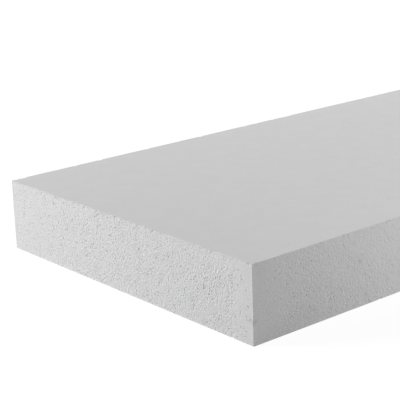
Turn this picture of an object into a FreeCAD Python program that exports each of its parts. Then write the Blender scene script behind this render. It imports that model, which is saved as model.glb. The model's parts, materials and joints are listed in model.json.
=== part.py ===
# Expanded polystyrene insulation board, cut square from a moulded block.
# One solid: a flat rectangular board with six plane faces and slightly worn arrises.
# Millimetres. +X runs along the length, +Y across the width and +Z through the thickness.
# The origin is the centre of the underside, so the board lies on the plane Z = 0.
import FreeCAD, Part
import os

import Sketcher

PARTS_FOLDER = "parts"
SHEET = "sizes"

# Driving dimensions. The arris radius is the wear that handling leaves on a cut edge.
SIZES = {
    "board_length": 1000.0,
    "board_width": 500.0,
    "board_thickness": 100.0,
    "arris_radius": 1.0,
}


# Document and spreadsheet
def make_sheet(doc):
    sheet = doc.addObject("Spreadsheet::Sheet", SHEET)
    for row, (alias, value) in enumerate(SIZES.items(), start=1):
        sheet.set(f"A{row}", alias)
        sheet.set(f"B{row}", str(value))
        sheet.setAlias(f"B{row}", alias)
    doc.recompute()
    return sheet


def origin_plane(body, role):
    return next(item for item in body.Origin.OriginFeatures if item.Role == role)


# Outline of the board seen from above: a rectangle centred on the origin
def draw_outline(body):
    sketch = body.newObject("Sketcher::SketchObject", "outline")
    sketch.AttachmentSupport = (origin_plane(body, "XY_Plane"), [""])
    sketch.MapMode = "FlatFace"

    half_length = SIZES["board_length"] / 2
    half_width = SIZES["board_width"] / 2
    corners = [
        FreeCAD.Vector(-half_length, -half_width, 0),
        FreeCAD.Vector(half_length, -half_width, 0),
        FreeCAD.Vector(half_length, half_width, 0),
        FreeCAD.Vector(-half_length, half_width, 0),
    ]
    for start, end in zip(corners, corners[1:] + corners[:1]):
        sketch.addGeometry(Part.LineSegment(start, end), False)

    # Geometry 0 is the front side, 1 the right end, 2 the back side and 3 the left end.
    front, right, back, left = range(4)
    line_start, line_end, sketch_origin = 1, 2, -1
    for side, following in ((front, right), (right, back), (back, left), (left, front)):
        sketch.addConstraint(Sketcher.Constraint("Coincident", side, line_end, following, line_start))
    for side in (front, back):
        sketch.addConstraint(Sketcher.Constraint("Horizontal", side))
    for end in (right, left):
        sketch.addConstraint(Sketcher.Constraint("Vertical", end))
    sketch.addConstraint(
        Sketcher.Constraint("Symmetric", front, line_start, back, line_start, sketch_origin, line_start)
    )

    length = sketch.addConstraint(
        Sketcher.Constraint("DistanceX", front, line_start, front, line_end, SIZES["board_length"])
    )
    width = sketch.addConstraint(
        Sketcher.Constraint("DistanceY", right, line_start, right, line_end, SIZES["board_width"])
    )
    sketch.setExpression(f"Constraints[{length}]", f"{SHEET}.board_length")
    sketch.setExpression(f"Constraints[{width}]", f"{SHEET}.board_width")
    return sketch


# The board itself: the outline raised to its thickness, with all twelve arrises eased
def make_board(doc):
    body = doc.addObject("PartDesign::Body", "polystyrene_board")
    body.Label = "polystyrene_board"
    outline = draw_outline(body)
    doc.recompute()

    block = body.newObject("PartDesign::Pad", "block")
    block.Profile = outline
    block.setExpression("Length", f"{SHEET}.board_thickness")
    doc.recompute()

    arrises = body.newObject("PartDesign::Fillet", "eased_arrises")
    arrises.Base = (block, [""])
    arrises.UseAllEdges = True
    arrises.setExpression("Radius", f"{SHEET}.arris_radius")
    body.Tip = arrises
    doc.recompute()
    return body


# Stops the build if any object failed to compute or the board is not one valid solid
def check(doc, board):
    for item in doc.Objects:
        if {"Invalid", "Error"} & set(item.State):
            raise RuntimeError(f"{item.Label} did not compute: {item.State}")
    shape = board.Shape
    if shape.isNull() or not shape.isValid() or len(shape.Solids) != 1:
        raise RuntimeError(f"{board.Label} is not one valid solid")
    overall = shape.BoundBox
    print(
        f"{board.Label}: {overall.XLength:.1f} x {overall.YLength:.1f} x {overall.ZLength:.1f} mm, "
        f"volume {shape.Volume / 1e9:.6f} m3, {len(shape.Faces)} faces"
    )


def main():
    doc = FreeCAD.newDocument("polystyrene_board")
    make_sheet(doc)
    board = make_board(doc)
    check(doc, board)
    os.makedirs(PARTS_FOLDER, exist_ok=True)
    board.Shape.exportStep(f"{PARTS_FOLDER}/{board.Label}.step")


main()
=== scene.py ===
import json
import math
import random

import bmesh
import bpy
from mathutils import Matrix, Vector, noise

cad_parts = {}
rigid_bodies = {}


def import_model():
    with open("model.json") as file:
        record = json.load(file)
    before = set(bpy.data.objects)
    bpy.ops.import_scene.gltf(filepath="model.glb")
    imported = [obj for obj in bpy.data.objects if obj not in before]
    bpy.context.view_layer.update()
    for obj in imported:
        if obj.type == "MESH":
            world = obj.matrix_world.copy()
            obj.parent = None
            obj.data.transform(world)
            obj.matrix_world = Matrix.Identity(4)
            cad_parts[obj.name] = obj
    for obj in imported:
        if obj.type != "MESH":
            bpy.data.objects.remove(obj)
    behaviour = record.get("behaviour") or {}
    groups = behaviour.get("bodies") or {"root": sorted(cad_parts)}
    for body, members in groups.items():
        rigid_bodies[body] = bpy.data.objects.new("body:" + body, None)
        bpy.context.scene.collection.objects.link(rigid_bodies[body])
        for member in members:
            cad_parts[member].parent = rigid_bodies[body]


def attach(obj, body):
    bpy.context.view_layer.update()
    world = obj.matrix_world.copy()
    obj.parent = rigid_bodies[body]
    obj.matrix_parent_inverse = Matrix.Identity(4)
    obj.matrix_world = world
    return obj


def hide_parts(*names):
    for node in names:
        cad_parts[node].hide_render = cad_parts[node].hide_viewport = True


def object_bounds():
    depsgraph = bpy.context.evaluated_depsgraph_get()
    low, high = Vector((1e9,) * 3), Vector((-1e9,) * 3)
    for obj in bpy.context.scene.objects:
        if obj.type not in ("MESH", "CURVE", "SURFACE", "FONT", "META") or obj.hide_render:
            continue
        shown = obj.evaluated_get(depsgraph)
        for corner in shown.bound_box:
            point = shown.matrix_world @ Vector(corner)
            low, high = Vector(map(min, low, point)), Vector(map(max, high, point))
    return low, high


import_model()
cadLow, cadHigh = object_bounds()

# Expanded polystyrene board. +X is its length, +Y its width, +Z its thickness, in metres.
# The four cut edges are modelled bead by bead, the upper face and the underside are moulded smooth.

board = {
    "name": "foam_board",
    "node": "polystyrene_board",
    "columnsLong": (4, 60),      # beads along a long side: that many parts, each of so many beads
    "columnsShort": (2, 75),     # the same along an end
    "rows": 24,                  # beads through the thickness
    "arrisDrift": 0.0011,        # how unevenly the beads sit along an arris
    "arrisWear": 0.0002,         # width of the worn strip along each arris
    "beadDrift": 0.0014,         # how unevenly the beads sit in a cut face
    "topDepth": (0.00035, 0.00027),   # how far the bead tops lie under the cut, and how unevenly
    "rimDepth": (0.00065, 0.00027),   # the same for their rims
    # for each cut side, by its place in the list of sides: how rough its large beads leave it,
    # the same for the small beads, which are bump alone, and how far from its first
    # and its last upright arris it is smoother
    "relief": {0: 0.5, 1: 0.5, 2: 0.5, 3: 0.5},
    "grain": {0: 1, 1: 1, 2: 0.6, 3: 0.6},
    "calmBand": {0: (0.034, 0.004), 1: (0.012, 0.030), 2: (0.050, 0.020), 3: (0.020, 0.050)},
    "calmShare": 0.3,            # how much of its roughness is left at the arris
    "calmRise": 4,               # the higher, the later the roughness comes back
    "patchSize": 0.012,          # rougher and smoother patches alternate over this distance
    "patchStrength": 0.35,
    "roughSteps": 6,             # the roughness is set in this many steps
    "wornTurn": 0.85,            # a face that faces its side less than this is a worn strip
    "stripTurn": 0.35,           # and it goes with each side that it faces more than this
    "rimTone": 0.5,              # the shade between the bead tops, which have one each from 0 to 1
    "smoothAngle": 30,
    "seed": 11,
}

pits = {
    # for each cut side: of the gaps between three beads, how many stand open
    "share": {0: 0.13, 1: 0.13, 2: 0.045, 3: 0.045},
    "depths": (0.0004, 0.0007, 0.0010),
    "turn": 0.5,                 # a gap that faces its side less than this stays closed
    "patchSize": 0.030,          # more open and more closed areas alternate over this distance
    "patchStrength": 0.6,
    "denseBand": 0.030,          # beside an upright arris the foam is denser
    "denseShare": 0.35,          # share of the pits left there
    "tornBeads": 0.004,          # share of the beads that have come away
    "tornDepths": (0.0006, 0.0006),   # how far the hole's rim lies in, and its bottom below that
    # share of the arris beads that have lost a crumb
    "nicks": {"upperEnd": 0.36, "upperLong": 0.12, "other": 0.004},
    "nickDepths": (0.00048, 0.00084, 0.0012),
}

moulded = {
    "border": 0.0020,            # plain strips inside the arris, together narrower than a bead
    "innerBorder": 0.0010,
    "lattice": 6,                # one line of the face's lattice every so many beads
    "drift": 0.0065,
    "pitShare": 0.30,            # share of the lattice points that are dented
    "pitWidths": (0.0024, 0.0036, 0.0048),
    "pitRim": 0.2,               # share of that width which stays level around the dent
    "pitDepth": 0.0006,
}

flatMap = {
    "gap": 0.006,                # left between the sides where they are laid flat
    "mouldedScale": 0.68,        # the plain moulded faces take less of the map than the cut ones
}

length = cadHigh.x - cadLow.x
width = cadHigh.y - cadLow.y
thickness = cadHigh.z - cadLow.z
middle = (cadLow + cadHigh) / 2
touch = 0.00002                  # two places closer than this are the same place
follows = 0.9                    # what follows an axis this closely counts as along it
dice = random.Random(board["seed"])

# The six sides: the axis each one faces along, which way, and where its plane is.
sides = [
    {"axis": 0, "sign": -1, "plane": cadLow.x},     # left end
    {"axis": 0, "sign": 1, "plane": cadHigh.x},     # right end
    {"axis": 1, "sign": -1, "plane": cadLow.y},     # front side
    {"axis": 1, "sign": 1, "plane": cadHigh.y},     # back side
    {"axis": 2, "sign": -1, "plane": cadLow.z},     # underside
    {"axis": 2, "sign": 1, "plane": cadHigh.z},     # upper face
]
ends = (0, 1)
cutSides = (0, 1, 2, 3)
mouldedSides = (4, 5)
upperFace = 5


def shapeOf(piece):
    # the mesh being edited, with its verts numbered in order
    shape = bmesh.from_edit_mesh(piece.data)
    shape.verts.index_update()
    return shape


def pick(piece, kind, wanted):
    # deselects everything, then selects the verts, edges or faces that are wanted
    bpy.ops.mesh.select_mode(type={"verts": "VERT", "edges": "EDGE", "faces": "FACE"}[kind])
    bpy.ops.mesh.select_all(action="DESELECT")
    shape = shapeOf(piece)
    for part in [part for part in getattr(shape, kind) if wanted(part)]:
        part.select_set(True)
    shape.select_flush_mode()
    bmesh.update_edit_mesh(piece.data)


def tagsOf(piece, name, kind="faces"):
    # the whole-number tag of that name on the piece's faces or verts
    layers = getattr(shapeOf(piece), kind).layers.int
    return layers.get(name) or layers.new(name)


def placeKey(place):
    return tuple(round(value, 6) for value in place)


def middleOf(part):
    if isinstance(part, bmesh.types.BMVert):
        return part.co
    if isinstance(part, bmesh.types.BMEdge):
        return (part.verts[0].co + part.verts[1].co) / 2
    return part.calc_center_median()


def settle(piece):
    # sorts the mesh by place, so that the random draws fall the same way in every run
    shape = shapeOf(piece)
    for parts in (shape.verts, shape.edges, shape.faces):
        for rank, part in enumerate(sorted(parts, key=lambda part: placeKey(middleOf(part)))):
            part.index = rank
        parts.sort()
    bmesh.update_edit_mesh(piece.data)


def nextSeed():
    return dice.randrange(1000)


def runsAlong(edge, axis):
    run = edge.verts[1].co - edge.verts[0].co
    return abs(run[axis]) > follows * run.length


def planesNear(place, reach=touch):
    # how many of the six planes this place lies on
    return sum(abs(place[side["axis"]] - side["plane"]) < reach for side in sides)


def liesOn(place, side, reach=touch):
    return abs(place[side["axis"]] - side["plane"]) < reach


def inwards(side, distance):
    step = [0, 0, 0]
    step[side["axis"]] = -side["sign"] * distance
    return step


def flatten(side):
    # presses what is selected back into the side's plane
    scale = [1, 1, 1]
    scale[side["axis"]] = 0
    centre = [0, 0, 0]
    centre[side["axis"]] = side["plane"]
    bpy.ops.transform.resize(value=scale, center_override=centre)


def cutColumns(piece, axis, parts, beads):
    pick(piece, "edges", lambda edge: runsAlong(edge, axis))
    bpy.ops.mesh.subdivide(number_cuts=parts - 1)
    pick(piece, "edges", lambda edge: runsAlong(edge, axis))
    bpy.ops.mesh.subdivide(number_cuts=beads - 1)


def makeBlock():
    # outline, pulled up to the thickness, with one column for each bead
    bpy.ops.object.select_all(action="DESELECT")
    bpy.ops.mesh.primitive_plane_add(size=1, location=(middle.x, middle.y, cadLow.z))
    block = bpy.context.object
    block.name = board["name"]
    block.data.name = board["name"]
    bpy.ops.object.mode_set(mode="EDIT")
    bpy.ops.transform.resize(value=(length, width, 1))
    bpy.ops.mesh.delete(type="ONLY_FACE")
    cutColumns(block, 0, *board["columnsLong"])
    cutColumns(block, 1, *board["columnsShort"])
    bpy.ops.mesh.select_all(action="SELECT")
    bpy.ops.mesh.extrude_region_move(TRANSFORM_OT_translate={"value": (0, 0, thickness)})
    pick(block, "edges", lambda edge: runsAlong(edge, 2))
    bpy.ops.mesh.subdivide(number_cuts=board["rows"] - 1)
    for number in mouldedSides:
        pick(block, "edges", lambda edge: all(liesOn(vert.co, sides[number]) for vert in edge.verts))
        bpy.ops.mesh.edge_face_add()
    bpy.ops.mesh.select_all(action="SELECT")
    bpy.ops.mesh.normals_make_consistent(inside=False)
    return block


def isMoulded(face):
    return abs(face.normal.z) > follows


def insideBorder(face):
    rim = moulded["border"] + moulded["innerBorder"]
    centre = face.calc_center_median()
    return isMoulded(face) and all(
        cadLow[axis] + rim < centre[axis] < cadHigh[axis] - rim for axis in (0, 1))


def divideMouldedFaces(block):
    # two plain borders, then a lattice that is drifted out of line so that nothing repeats
    pick(block, "faces", isMoulded)
    bpy.ops.mesh.inset(thickness=moulded["border"])
    bpy.ops.mesh.inset(thickness=moulded["innerBorder"])
    for axis, parts in ((0, board["columnsLong"]), (1, board["columnsShort"])):
        columns = parts[0] * parts[1]
        direction = [0, 0, 0]
        direction[axis] = 1
        for column in range(moulded["lattice"], columns, moulded["lattice"]):
            place = [0, 0, 0]
            place[axis] = cadLow[axis] + (cadHigh[axis] - cadLow[axis]) * column / columns
            pick(block, "faces", insideBorder)
            bpy.ops.mesh.bisect(plane_co=place, plane_no=direction)
    settle(block)
    for number in mouldedSides:
        side = sides[number]
        pick(block, "verts", lambda vert: liesOn(vert.co, side) and all(
            insideBorder(face) for face in vert.link_faces))
        bpy.ops.transform.vertex_random(offset=moulded["drift"], uniform=1, normal=0, seed=nextSeed())
        flatten(side)


def pitMouldedFaces(block):
    # here and there a small dent between the beads, opened at a lattice point
    dents = [set() for pitWidth in moulded["pitWidths"]]
    for vert in shapeOf(block).verts:
        isFree = planesNear(vert.co) == 1 and all(insideBorder(face) for face in vert.link_faces)
        if isFree and dice.random() < moulded["pitShare"]:
            dice.choice(dents).add(placeKey(vert.co))
    for pitWidth, chosen in zip(moulded["pitWidths"], dents):
        pick(block, "verts", lambda vert: placeKey(vert.co) in chosen)
        bpy.ops.mesh.bevel(offset=pitWidth, affect="VERTICES")
        bpy.ops.mesh.inset(thickness=pitWidth * moulded["pitRim"])
        bpy.ops.mesh.poke(offset=-moulded["pitDepth"])
    settle(block)


def isNicked(place):
    # drawn once for each depth of nick
    arris = "other"
    if liesOn(place, sides[upperFace]):
        arris = "upperEnd" if any(liesOn(place, sides[number]) for number in ends) else "upperLong"
    return dice.random() < pits["nicks"][arris] / len(pits["nickDepths"])


def wearArrises(block):
    # the beads sit unevenly along each arris and some have lost a crumb, then all are eased
    for axis in range(3):
        across = [other for other in range(3) if other != axis]
        keep = [1 if other == axis else 0 for other in range(3)]
        for first in (cadLow, cadHigh):
            for second in (cadLow, cadHigh):
                line = [0, 0, 0]
                line[across[0]] = first[across[0]]
                line[across[1]] = second[across[1]]
                pick(block, "verts", lambda vert: planesNear(vert.co) == 2 and all(
                    abs(vert.co[other] - line[other]) < touch for other in across))
                bpy.ops.transform.vertex_random(
                    offset=board["arrisDrift"], uniform=1, normal=0, seed=nextSeed())
                bpy.ops.transform.resize(value=keep, center_override=line)
    for depth in pits["nickDepths"]:
        pick(block, "verts", lambda vert: planesNear(vert.co) == 2 and isNicked(vert.co))
        bpy.ops.transform.shrink_fatten(value=-depth)
    reach = max(pits["nickDepths"]) + touch
    pick(block, "edges", lambda edge: all(planesNear(vert.co, reach) >= 2 for vert in edge.verts))
    bpy.ops.mesh.bevel(offset=board["arrisWear"], clamp_overlap=False)
    settle(block)


def nameFaces(block):
    # tags each face with the number of its side, and the worn strips as such:
    # they go with the moulded faces, and at the upright arrises with the ends
    sideTag, wornTag = tagsOf(block, "side"), tagsOf(block, "worn")
    for face in shapeOf(block).faces:
        facing = [face.normal[side["axis"]] * side["sign"] for side in sides]
        best = facing.index(max(facing))
        if facing[best] < board["wornTurn"]:
            face[wornTag] = 1
            best = max(mouldedSides + ends, key=lambda number: facing[number] > board["stripTurn"])
        face[sideTag] = best


def facesOut(face, side):
    return face.normal[side["axis"]] * side["sign"] > pits["turn"]


def innerVert(vert, number, sideTag, wornTag):
    return all(face[sideTag] == number and not face[wornTag] for face in vert.link_faces)


def packBeads(block):
    # drifts the bead centres, joins them up in triangles, and halves every edge:
    # the corners of each triangle belong to three beads, its middle is the gap between them
    for number in cutSides:
        sideTag, wornTag = tagsOf(block, "side"), tagsOf(block, "worn")
        pick(block, "verts", lambda vert: innerVert(vert, number, sideTag, wornTag))
        bpy.ops.transform.vertex_random(offset=board["beadDrift"], uniform=1, normal=0, seed=nextSeed())
        flatten(sides[number])
    sideTag, wornTag = tagsOf(block, "side"), tagsOf(block, "worn")
    pick(block, "faces", lambda face: face[sideTag] in cutSides and not face[wornTag])
    bpy.ops.mesh.quads_convert_to_tris(quad_method="SHORTEST_DIAGONAL")
    bpy.ops.mesh.beautify_fill()
    beads = {placeKey(vert.co) for vert in shapeOf(block).verts}
    bpy.ops.mesh.subdivide(number_cuts=1)
    topTag = tagsOf(block, "beadTop", "verts")
    for vert in shapeOf(block).verts:
        vert[topTag] = placeKey(vert.co) in beads
    settle(block)


def shapeBeads(block):
    # the bead tops stand a little unevenly and their rims lie lower, so each bead is a low dome
    sideTag, wornTag = tagsOf(block, "side"), tagsOf(block, "worn")
    topTag = tagsOf(block, "beadTop", "verts")
    steps = board["roughSteps"]
    groups = {}                  # the verts of each side, tops and rims apart, by how rough it is
    torn = {number: set() for number in cutSides}
    for vert in shapeOf(block).verts:
        for number in cutSides:
            if innerVert(vert, number, sideTag, wornTag):
                strength = cutStrength(vert.co, number)
                group = (number, vert[topTag], round(steps * strength))
                groups.setdefault(group, set()).add(vert.index)
                share = pits["tornBeads"] * (board["relief"][number] * strength) ** 2
                if vert[topTag] and dice.random() < share:
                    torn[number].add(vert.index)
    for (number, isTop, step), chosen in sorted(groups.items()):
        depth, unevenness = board["topDepth"] if isTop else board["rimDepth"]
        relief = board["relief"][number] * step / steps
        pick(block, "verts", lambda vert: vert.index in chosen)
        bpy.ops.transform.translate(value=inwards(sides[number], depth * relief))
        bpy.ops.transform.vertex_random(
            offset=unevenness * relief, uniform=0, normal=1, seed=nextSeed())
    for number in cutSides:
        pick(block, "verts", lambda vert: vert.index in torn[number])
        bpy.ops.mesh.select_more()
        bpy.ops.transform.translate(value=inwards(sides[number], pits["tornDepths"][0]))
        pick(block, "verts", lambda vert: vert.index in torn[number])
        bpy.ops.transform.translate(value=inwards(sides[number], pits["tornDepths"][1]))


def fromUpright(place):
    # how far along its side this place is from the nearest upright arris
    return max(min(place[axis] - cadLow[axis], cadHigh[axis] - place[axis]) for axis in (0, 1))


def cutStrength(place, number):
    # how rough the cut is here: in patches, and smoother beside the upright arrises
    along = 1 - sides[number]["axis"]
    first, last = board["calmBand"][number]
    rise = min(1, (place[along] - cadLow[along]) / first, (cadHigh[along] - place[along]) / last)
    rise = max(0, rise) ** board["calmRise"]
    patch = 1 + board["patchStrength"] * noise.noise(place / board["patchSize"])
    return patch * (board["calmShare"] + (1 - board["calmShare"]) * rise)


def openness(place):
    # how open the foam is here: patchy, and denser beside the upright arrises
    patch = 1 + pits["patchStrength"] * noise.noise(place / pits["patchSize"])
    fade = min(1, fromUpright(place) / pits["denseBand"])
    return patch * (pits["denseShare"] + (1 - pits["denseShare"]) * fade * fade)


def openPits(block):
    # the gaps between three beads, some of them open as pits of different depths
    sideTag, wornTag, depthTag = tagsOf(block, "side"), tagsOf(block, "worn"), tagsOf(block, "depth")
    topTag = tagsOf(block, "beadTop", "verts")
    for face in shapeOf(block).faces:
        number = face[sideTag]
        isCut = number in cutSides and not face[wornTag]
        isGap = isCut and len(face.verts) == 3 and not any(vert[topTag] for vert in face.verts)
        isOpen = isGap and dice.random() < pits["share"][number] * openness(middleOf(face))
        if isOpen and facesOut(face, sides[number]):
            face[depthTag] = 1 + dice.randrange(len(pits["depths"]))
    for number, depth in enumerate(pits["depths"], 1):
        depthTag = tagsOf(block, "depth")
        pick(block, "faces", lambda face: face[depthTag] == number)
        bpy.ops.mesh.poke(offset=-depth)


def layFlat(block):
    # the map that the finish is baked through: the sides laid flat, none overlapping
    gap, strip, shrink = flatMap["gap"], thickness + flatMap["gap"], flatMap["mouldedScale"]
    corners = [
        (gap, 2 * strip + gap, 1), (2 * gap + width, 2 * strip + gap, 1),
        (gap, gap, 1), (gap, strip + gap, 1),
        (gap, 3 * strip + gap, shrink), (gap, 3 * strip + 2 * gap + shrink * width, shrink),
    ]
    sheet = 3 * strip + 3 * gap + 2 * shrink * width
    sideTag = tagsOf(block, "side")
    shape = shapeOf(block)
    flat = shape.loops.layers.uv.new("OFBake")
    for face in shape.faces:
        side = sides[face[sideTag]]
        across = 1 if side["axis"] == 0 else 0
        up = 1 if side["axis"] == 2 else 2
        turn = -side["sign"] if side["axis"] == 1 else side["sign"]
        left, bottom, scale = corners[face[sideTag]]
        for corner in face.loops:
            place = corner.vert.co
            fromLeft = place[across] - cadLow[across] if turn > 0 else cadHigh[across] - place[across]
            corner[flat].uv = (
                (left + scale * fromLeft) / sheet,
                (bottom + scale * (place[up] - cadLow[up])) / sheet)
    bmesh.update_edit_mesh(block.data)


def nearestCutSide(place):
    return min(cutSides, key=lambda number: abs(place[sides[number]["axis"]] - sides[number]["plane"]))


def toneBeads(block):
    # what the finish reads: a shade of its own for each bead, how deep a place lies in a pit,
    # which the finish turns into painted shade, and how rough the cut is there
    layers = shapeOf(block).verts.layers.float
    for name in ("beadTone", "pitDepth", "cutRoughness"):
        layers.new(name)
    toneTag, deepTag, roughTag = layers["beadTone"], layers["pitDepth"], layers["cutRoughness"]
    topTag = shapeOf(block).verts.layers.int["beadTop"]
    for vert in shapeOf(block).verts:
        below = min(abs(vert.co[side["axis"]] - side["plane"]) for side in sides)
        vert[deepTag] = min(1, below / pits["depths"][-1])
        vert[toneTag] = dice.random() if vert[topTag] else board["rimTone"]
        number = nearestCutSide(vert.co)
        vert[roughTag] = cutStrength(vert.co, number) * board["grain"][number]
    bmesh.update_edit_mesh(block.data)


def finishBoard(block):
    layFlat(block)
    toneBeads(block)
    for name in ("cut_foam", "moulded_foam"):
        block.data.materials.append(bpy.data.materials[name])
    sideTag = tagsOf(block, "side")
    pick(block, "faces", lambda face: face[sideTag] in mouldedSides)
    block.active_material_index = 1
    bpy.ops.object.material_slot_assign()
    bpy.ops.object.mode_set(mode="OBJECT")
    for name in ("side", "worn", "depth", "beadTop"):
        block.data.attributes.remove(block.data.attributes[name])
    bpy.ops.object.shade_smooth_by_angle(angle=math.radians(board["smoothAngle"]))
    bpy.ops.object.transform_apply(location=True, rotation=True, scale=True)


# Finishes

foam = {
    "colour": (0.74, 0.74, 0.74),
    "roughness": (0.78, 0.92),
    "beadScale": 235,            # beads to a metre
    "cellScale": 900,            # cells of the foam inside a bead, the same way
    "crumbScale": 630,           # and the crumbs that the wire has left
    "grainScale": (360, 520, 380),    # small beads to a metre, along, across and up
    "grainHeight": 0.00076,
    "crumbHeight": 0.0003,
    "crumbStrength": 0.6,
    "seamHeight": 0.0002,
    "seamStrength": 0.3,
    "noiseRange": (0.3, 0.7),    # what the noise textures mostly keep to
    "toneSpread": 0.06,          # how much darker the darkest bead is than the lightest
    "cellSpread": 0.03,          # how much lighter and darker the cells are
    "beadSpread": 0.01,          # the same for the beads of the moulded faces
    "calmTone": 0.92,            # how bright the cut is where it is smoothest
    "paintedPitShade": 0.87,             # painted shade: how bright the bottom of a pit is painted against the cut face
    "paintedPitShadeRange": (0.12, 1),       # from where to where the painted shade darkens, as shares of the deepest pit
    "paintedDentShade": 0.93,            # the same two for the painted shade in a dent in the moulded faces
    "paintedDentShadeRange": (0.05, 0.6),
    "seamTone": 0.96,            # how bright the moulded faces are between their beads
    "seamWidth": 0.08,           # as a share of a bead
    "mottleScale": 38,           # soft patches to a metre
    "mottle": 0.012,             # how much lighter and darker they are
}


def addNode(tree, kind, place, **settings):
    node = tree.nodes.new("ShaderNode" + kind)
    node.location = place
    for name, value in settings.items():
        setattr(node, name, value)
    return node


def join(tree, source, output, target, socket):
    tree.links.new(source.outputs[output], target.inputs[socket])


def mathNode(tree, place, operation, first, second):
    # first and second are (node, output)
    node = addNode(tree, "Math", place, operation=operation)
    for index, (source, output) in enumerate((first, second)):
        join(tree, source, output, node, index)
    return node


def mapRange(tree, place, source, output, low, high, toLow, toHigh):
    node = addNode(tree, "MapRange", place)
    join(tree, source, output, node, "Value")
    node.inputs["From Min"].default_value = low
    node.inputs["From Max"].default_value = high
    node.inputs["To Min"].default_value = toLow
    node.inputs["To Max"].default_value = toHigh
    return node


def startMaterial(name):
    material = bpy.data.materials.new(name)
    material.use_nodes = True
    tree = material.node_tree
    tree.nodes.clear()
    output = addNode(tree, "OutputMaterial", (900, 0))
    shader = addNode(tree, "BsdfPrincipled", (600, 0))
    join(tree, shader, "BSDF", output, "Surface")
    return tree, shader


def addCells(tree, place, vector, output, scale, feature="F1"):
    # bead or cell shapes, so many to a metre
    cells = addNode(tree, "TexVoronoi", place, feature=feature)
    cells.inputs["Scale"].default_value = scale
    join(tree, vector, output, cells, "Vector")
    return cells


def addNoise(tree, place, coords, scale, detail):
    # soft specks, so many to a metre
    speckle = addNode(tree, "TexNoise", place)
    speckle.inputs["Scale"].default_value = scale
    speckle.inputs["Detail"].default_value = detail
    join(tree, coords, "Object", speckle, "Vector")
    return speckle


def addMottle(tree, place, coords):
    # soft lighter and darker patches
    patches = addNoise(tree, place, coords, foam["mottleScale"], 2)
    spread = foam["mottle"]
    return mapRange(
        tree, (place[0] + 300, place[1]), patches, "Fac", *foam["noiseRange"], 1 - spread, 1 + spread)


def paint(tree, shader, shade):
    # the foam's colour, darkened by the shade
    colour = addNode(tree, "Mix", (-200, 200), data_type="RGBA", blend_type="MULTIPLY")
    colour.inputs["Factor"].default_value = 1
    colour.inputs["A"].default_value = (*foam["colour"], 1)
    join(tree, shade, "Value", colour, "B")
    join(tree, colour, "Result", shader, "Base Color")


def makeCutFoam():
    # the wire has opened the beads: fine cells inside them, pits between them, darkened with painted
    # shade
    tree, shader = startMaterial("cut_foam")
    coords = addNode(tree, "TexCoord", (-1600, 0))
    tone = addNode(tree, "Attribute", (-1200, 300), attribute_name="beadTone")
    deep = addNode(tree, "Attribute", (-1200, 100), attribute_name="pitDepth")
    rough = addNode(tree, "Attribute", (-1200, -1000), attribute_name="cutRoughness")
    cells = addNoise(tree, (-1200, -200), coords, foam["cellScale"], 3)
    crumbs = addCells(tree, (-1200, -500), coords, "Object", foam["crumbScale"])

    beadShade = mapRange(tree, (-900, 300), tone, "Fac", 0, 1, 1 - foam["toneSpread"], 1)
    # painted shade: the colour darkens the deeper a place lies in a pit
    paintedPitShading = mapRange(tree, (-900, 100), deep, "Fac", *foam["paintedPitShadeRange"], 1, foam["paintedPitShade"])
    calmShade = mapRange(tree, (-900, -300), rough, "Fac", 0, 1, foam["calmTone"], 1)
    spread = foam["cellSpread"]
    cellShade = mapRange(
        tree, (-900, -100), cells, "Fac", *foam["noiseRange"], 1 - spread, 1 + spread)
    patchShade = addMottle(tree, (-1200, 600), coords)
    beadTonesAndPitShade = mathNode(
        tree, (-650, 200), "MULTIPLY", (beadShade, "Result"), (paintedPitShading, "Result"))
    cellsAndPatches = mathNode(
        tree, (-650, 0), "MULTIPLY", (cellShade, "Result"), (patchShade, "Result"))
    calmAndBeads = mathNode(
        tree, (-450, 300), "MULTIPLY", (beadTonesAndPitShade, "Value"), (calmShade, "Result"))
    shade = mathNode(
        tree, (-300, 150), "MULTIPLY", (calmAndBeads, "Value"), (cellsAndPatches, "Value"))
    paint(tree, shader, shade)

    sheen = mapRange(
        tree, (-200, -50), cells, "Fac", *foam["noiseRange"], *foam["roughness"])
    join(tree, sheen, "Result", shader, "Roughness")
    spacing = addNode(tree, "VectorMath", (-1400, -800), operation="MULTIPLY")
    join(tree, coords, "Object", spacing, 0)
    spacing.inputs[1].default_value = foam["grainScale"]
    grain = addCells(tree, (-1200, -800), spacing, "Vector", 1)
    bumpGrain = addNode(tree, "Bump", (-100, -500), invert=True)
    join(tree, rough, "Fac", bumpGrain, "Strength")
    bumpGrain.inputs["Distance"].default_value = foam["grainHeight"]
    join(tree, grain, "Distance", bumpGrain, "Height")
    bumpCells = addNode(tree, "Bump", (100, -300))
    bumpCells.inputs["Strength"].default_value = foam["crumbStrength"]
    bumpCells.inputs["Distance"].default_value = foam["crumbHeight"]
    join(tree, crumbs, "Distance", bumpCells, "Height")
    join(tree, bumpGrain, "Normal", bumpCells, "Normal")
    join(tree, bumpCells, "Normal", shader, "Normal")


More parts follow.
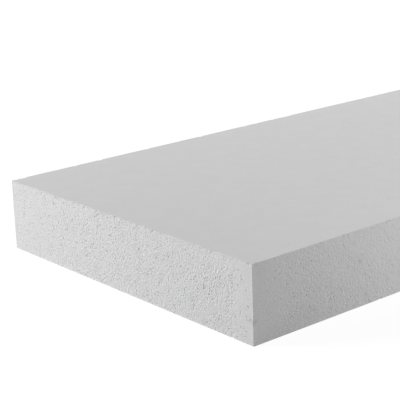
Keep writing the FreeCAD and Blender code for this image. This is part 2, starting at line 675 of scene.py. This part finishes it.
def makeMouldedFoam():
    # pressed against the mould: bead outlines barely show
    tree, shader = startMaterial("moulded_foam")
    coords = addNode(tree, "TexCoord", (-1400, 0))
    deep = addNode(tree, "Attribute", (-1200, 300), attribute_name="pitDepth")
    seams = addCells(tree, (-1200, 0), coords, "Object", foam["beadScale"], "DISTANCE_TO_EDGE")
    beads = addCells(tree, (-1200, -300), coords, "Object", foam["beadScale"])

    spread = foam["beadSpread"]
    beadShade = mapRange(tree, (-900, -300), beads, "Color", 0, 1, 1 - spread, 1 + spread)
    seamShade = mapRange(
        tree, (-900, 0), seams, "Distance", 0, foam["seamWidth"], foam["seamTone"], 1)
    # painted shade: the colour darkens the deeper a place lies in a dent
    paintedDentShading = mapRange(tree, (-900, 300), deep, "Fac", *foam["paintedDentShadeRange"], 1, foam["paintedDentShade"])
    patchShade = addMottle(tree, (-1200, 600), coords)
    beadsAndSeams = mathNode(
        tree, (-650, 0), "MULTIPLY", (beadShade, "Result"), (seamShade, "Result"))
    dentShadeAndPatches = mathNode(
        tree, (-650, 400), "MULTIPLY", (paintedDentShading, "Result"), (patchShade, "Result"))
    shade = mathNode(
        tree, (-450, 150), "MULTIPLY", (beadsAndSeams, "Value"), (dentShadeAndPatches, "Value"))
    paint(tree, shader, shade)

    sheen = mapRange(tree, (-200, -50), beads, "Color", 0, 1, *foam["roughness"])
    join(tree, sheen, "Result", shader, "Roughness")
    bump = addNode(tree, "Bump", (100, -300))
    bump.inputs["Strength"].default_value = foam["seamStrength"]
    bump.inputs["Distance"].default_value = foam["seamHeight"]
    join(tree, seamShade, "Result", bump, "Height")
    join(tree, bump, "Normal", shader, "Normal")


# Floor, light and camera

studio = {
    "floorSize": 40,
    "floorDrop": 0.0002,         # the floor lies this little below the underside
    "floorColour": (0.55, 0.55, 0.55),
    "floorGlow": 0.93,           # how white the floor beside the board already looks, unlit
    "floorWhite": 1.02,          # the same away from the board
    "whiteFrom": (0.75, 1.5),    # the one turns into the other over this distance
    "shadowShare": (0.12, 0.12, 0.12),    # how much of the light on the floor the camera sees
    "worldLevel": 0.08,          # how bright the white background is as a light
}

lamps = [
    {"name": "leftSoftbox", "place": (-3.0, 2.0, 1.4), "size": 1.0, "power": 119},
    {"name": "backSoftbox", "place": (1.5, 1.5, 1.8), "size": 1.4, "power": 28.5},
    {"name": "rightSoftbox", "place": (1.5, -1.3, 0.6), "size": 1.0, "power": 17.2},
    {"name": "frontCard", "place": (0, -0.8, 0.2), "size": 0.6, "power": 2.1},
]

view = {
    "place": (-1.4163, -1.2634, 0.5863),
    "angles": (73.316, 1.805, -40.309),   # in degrees
    "lens": 116.15,              # in mm, as the sensor's width is
    "sensor": 36,
}


def seenByCamera(tree, place):
    # 1 for what the camera sees, straight or in a reflection or through glass
    path = addNode(tree, "LightPath", place)
    straight = mathNode(tree, (place[0] + 200, place[1]), "MAXIMUM",
                        (path, "Is Camera Ray"), (path, "Is Glossy Ray"))
    return mathNode(tree, (place[0] + 400, place[1]), "MAXIMUM",
                    (straight, "Value"), (path, "Is Transmission Ray"))


def makeFloor():
    # pale and matt: to the camera almost white, so that the shadow stays faint
    bpy.ops.object.select_all(action="DESELECT")
    bpy.ops.mesh.primitive_plane_add(
        size=studio["floorSize"], location=(0, 0, cadLow.z - studio["floorDrop"]))
    floor = bpy.context.object
    floor.name = "studio_floor"
    material = bpy.data.materials.new("pale_floor")
    material.use_nodes = True
    tree = material.node_tree
    tree.nodes.clear()
    output = addNode(tree, "OutputMaterial", (800, 0))
    seen = seenByCamera(tree, (-600, 300))
    lit = addNode(tree, "BsdfDiffuse", (0, 0))
    lit.inputs["Color"].default_value = (*studio["floorColour"], 1)
    faint = addNode(tree, "BsdfDiffuse", (0, -200))
    faint.inputs["Color"].default_value = (*studio["shadowShare"], 1)
    coords = addNode(tree, "TexCoord", (-800, -400))
    away = addNode(tree, "VectorMath", (-600, -400), operation="LENGTH")
    join(tree, coords, "Object", away, 0)
    white = mapRange(
        tree, (-300, -400), away, "Value",
        *studio["whiteFrom"], studio["floorGlow"], studio["floorWhite"])
    glow = addNode(tree, "Emission", (0, -400))
    join(tree, white, "Result", glow, "Strength")
    shown = addNode(tree, "AddShader", (250, -300))
    join(tree, faint, "BSDF", shown, 0)
    join(tree, glow, "Emission", shown, 1)
    mix = addNode(tree, "MixShader", (500, 0))
    join(tree, seen, "Value", mix, 0)
    join(tree, lit, "BSDF", mix, 1)
    join(tree, shown, "Shader", mix, 2)
    join(tree, mix, "Shader", output, "Surface")
    floor.data.materials.append(material)


def lightStudio():
    world = bpy.data.worlds.new("studio_world")
    bpy.context.scene.world = world
    world.use_nodes = True
    tree = world.node_tree
    tree.nodes.clear()
    output = addNode(tree, "OutputWorld", (600, 0))
    seen = seenByCamera(tree, (-600, 0))
    level = mapRange(tree, (0, 0), seen, "Value", 0, 1, studio["worldLevel"], 1)
    back = addNode(tree, "Background", (300, 0))
    back.inputs["Color"].default_value = (1, 1, 1, 1)
    join(tree, level, "Result", back, "Strength")
    join(tree, back, "Background", output, "Surface")
    for lamp in lamps:
        aim = middle - Vector(lamp["place"])
        bpy.ops.object.light_add(
            type="AREA", location=lamp["place"], rotation=aim.to_track_quat("-Z", "Y").to_euler())
        light = bpy.context.object
        light.name = lamp["name"]
        light.data.size = lamp["size"]
        light.data.energy = lamp["power"]
        light.visible_camera = False


def placeCamera():
    bpy.ops.object.camera_add(
        location=view["place"], rotation=[math.radians(angle) for angle in view["angles"]])
    camera = bpy.context.object
    camera.data.sensor_width = view["sensor"]
    camera.data.lens = view["lens"]
    bpy.context.scene.camera = camera


makeCutFoam()
makeMouldedFoam()
print("finishes: ready")

foamBoard = makeBlock()
divideMouldedFaces(foamBoard)
print("board: outline, columns and moulded faces", len(shapeOf(foamBoard).faces))
wearArrises(foamBoard)
pitMouldedFaces(foamBoard)
nameFaces(foamBoard)
print("board: arrises worn", len(shapeOf(foamBoard).faces))
packBeads(foamBoard)
print("board: beads packed", len(shapeOf(foamBoard).faces))
shapeBeads(foamBoard)
openPits(foamBoard)
print("board: pits open", len(shapeOf(foamBoard).faces))
finishBoard(foamBoard)
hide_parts(board["node"])
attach(foamBoard, "root")
print("board: finished")

makeFloor()
lightStudio()
placeCamera()
bpy.context.scene.view_settings.view_transform = "Standard"
print("studio: ready")
